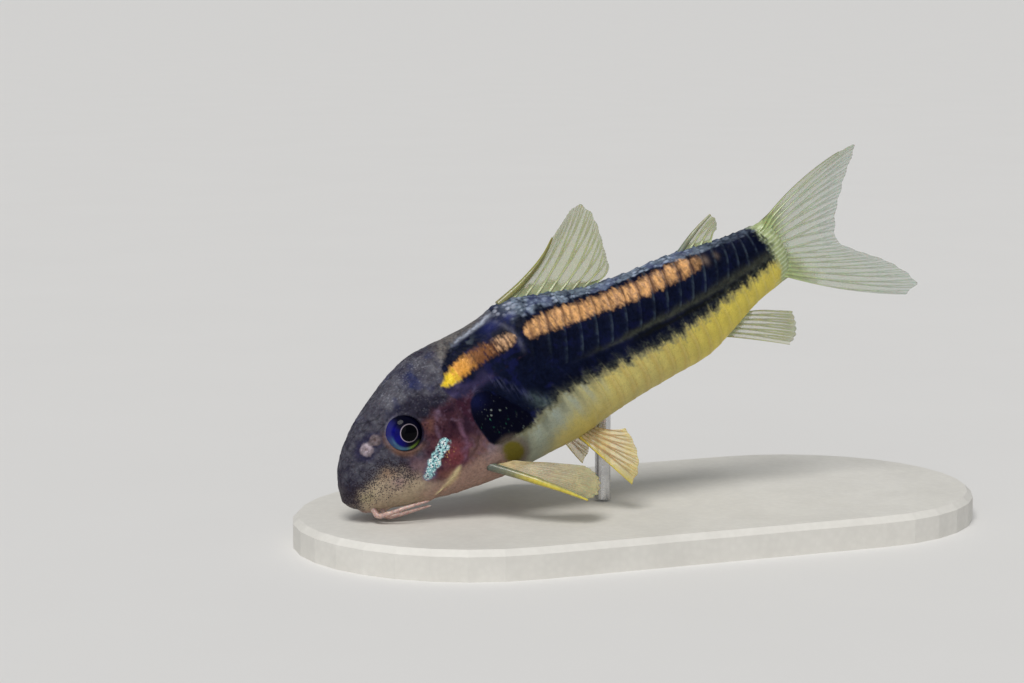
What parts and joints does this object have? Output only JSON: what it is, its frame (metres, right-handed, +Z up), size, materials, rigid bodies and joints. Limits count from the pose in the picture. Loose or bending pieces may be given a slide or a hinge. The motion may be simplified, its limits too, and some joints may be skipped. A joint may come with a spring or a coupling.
{
  "type": "corydoras catfish on a display stand",
  "caption": "Armoured corydoras catfish at life size, feeding head down with its fins spread, held over a flat rounded base by a short rod.",
  "frame": {"origin": "centre of the underside of the base, which is the centre of the bounding box's bottom", "axes": "the fish faces -X with its left flank to -Y, and +Z is up; the longest extent runs along X"},
  "size_m": [0.073, 0.036, 0.0387],
  "materials": {
    "skin": "wet, blue-black armour with an orange stripe and a yellow belly",
    "eye": "clear wet cornea over a deep blue eye",
    "fin": "thin, clear, pale yellow-green",
    "yellow_fin": "thin, clear, yellow",
    "barbel": "soft pale pink-brown",
    "base": "plain matt off-white",
    "rod": "satin steel"
  },
  "bodies": {
    "root": {"head": "skin", "trunk": "skin", "tail_stem": "skin", "eye_left": "eye", "eye_right": "eye", "dorsal_fin": "fin", "adipose_fin": "fin", "caudal_fin": "fin", "pectoral_fin_left": "fin", "pectoral_fin_right": "fin", "anal_fin": "yellow_fin", "pelvic_fin_left": "yellow_fin", "pelvic_fin_right": "yellow_fin", "barbel_upper_left": "barbel", "barbel_upper_right": "barbel", "barbel_lower_left": "barbel", "barbel_lower_right": "barbel", "stand_base": "base", "stand_rod": "rod"}
  },
  "joints": []
}
